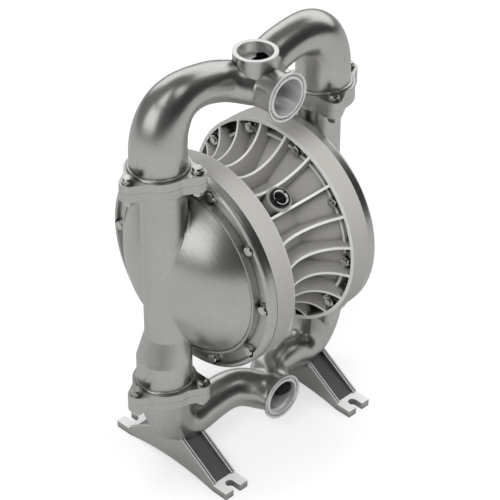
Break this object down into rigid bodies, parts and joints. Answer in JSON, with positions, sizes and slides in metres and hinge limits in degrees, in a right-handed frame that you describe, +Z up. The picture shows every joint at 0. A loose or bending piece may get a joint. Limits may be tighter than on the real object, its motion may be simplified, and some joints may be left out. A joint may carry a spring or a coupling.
{
  "type": "air operated diaphragm pump",
  "caption": "Air operated diaphragm pump with cast stainless liquid chambers and manifolds, finned white centre section, sliding shaft, spools and check balls.",
  "frame": {"origin": "on the floor under the middle of the diaphragm shaft, at the centre of the four foot slots", "axes": "+X along the diaphragm shaft, -Y towards the side that both ports face, +Z up"},
  "size_m": [0.407, 0.2998, 0.5851],
  "materials": {
    "cast_stainless": "satin, bead blasted and electropolished investment casting",
    "turned_stainless": "fine turned",
    "screw_steel": "bright, lightly polished",
    "white_moulding": "satin injection moulding",
    "black_moulding": "semi-gloss moulding",
    "plate_aluminium": "as machined",
    "bearing_bronze": "fine bored",
    "diaphragm_rubber": "moulded with fabric reinforcement",
    "seal_rubber": "moulded",
    "ball_ptfe": "turned and waxy"
  },
  "bodies": {
    "pump": {"liquid_chamber_left": "cast_stainless", "liquid_chamber_right": "cast_stainless", "discharge_manifold": "cast_stainless", "inlet_manifold": "cast_stainless", "foot_left": "cast_stainless", "foot_right": "cast_stainless", "valve_seat_outlet_left": "turned_stainless", "valve_seat_outlet_right": "turned_stainless", "valve_seat_inlet_left": "turned_stainless", "valve_seat_inlet_right": "turned_stainless", "chamber_screws_left": "screw_steel", "chamber_screws_right": "screw_steel", "chamber_nuts_left": "screw_steel", "chamber_nuts_right": "screw_steel", "chamber_washers_left": "screw_steel", "chamber_washers_right": "screw_steel", "upper_collar_screws": "screw_steel", "upper_collar_nuts": "screw_steel", "upper_collar_washers": "screw_steel", "lower_collar_screws": "screw_steel", "lower_collar_nuts": "screw_steel", "lower_collar_washers": "screw_steel", "centre_block": "white_moulding", "air_valve_plug": "black_moulding", "exhaust_silencer": "black_moulding", "shaft_bush_left": "bearing_bronze", "shaft_bush_right": "bearing_bronze", "air_valve_sleeve": "bearing_bronze", "pilot_sleeve": "bearing_bronze", "diaphragm_left": "diaphragm_rubber", "diaphragm_right": "diaphragm_rubber", "shaft_seal_left": "seal_rubber", "shaft_seal_right": "seal_rubber", "collar_o_rings": "seal_rubber"},
    "shaft": {"diaphragm_shaft": "turned_stainless", "inner_plate_left": "plate_aluminium", "inner_plate_right": "plate_aluminium", "outer_plate_left": "turned_stainless", "outer_plate_right": "turned_stainless"},
    "pilot": {"pilot_spool": "turned_stainless"},
    "spool": {"air_valve_spool": "plate_aluminium"},
    "ball_outlet_left": {"check_ball_outlet_left": "ball_ptfe"},
    "ball_outlet_right": {"check_ball_outlet_right": "ball_ptfe"},
    "ball_inlet_left": {"check_ball_inlet_left": "ball_ptfe"},
    "ball_inlet_right": {"check_ball_inlet_right": "ball_ptfe"}
  },
  "joints": [
    {"name": "shaft_slide", "type": "slide", "parent": "pump", "child": "shaft", "axis": [1, 0, 0], "range_m": [-0.015, 0.015], "deforming": ["diaphragm_left", "diaphragm_right"]},
    {"name": "pilot_slide", "type": "slide", "parent": "pump", "child": "pilot", "axis": [1, 0, 0], "range_m": [-0.004, 0.004]},
    {"name": "spool_slide", "type": "slide", "parent": "pump", "child": "spool", "axis": [0, -0.5878, 0.809], "range_m": [0, 0.005]},
    {"name": "ball_outlet_left_lift", "type": "slide", "parent": "pump", "child": "ball_outlet_left", "axis": [0, 0, 1], "range_m": [0, 0.011]},
    {"name": "ball_outlet_right_lift", "type": "slide", "parent": "pump", "child": "ball_outlet_right", "axis": [0, 0, 1], "range_m": [0, 0.011]},
    {"name": "ball_inlet_left_lift", "type": "slide", "parent": "pump", "child": "ball_inlet_left", "axis": [0, 0, 1], "range_m": [0, 0.011]},
    {"name": "ball_inlet_right_lift", "type": "slide", "parent": "pump", "child": "ball_inlet_right", "axis": [0, 0, 1], "range_m": [0, 0.011]}
  ],
  "couplings": [
    {"joint": "pilot_slide", "follows": "shaft_slide", "ratio": 0.2666}
  ]
}
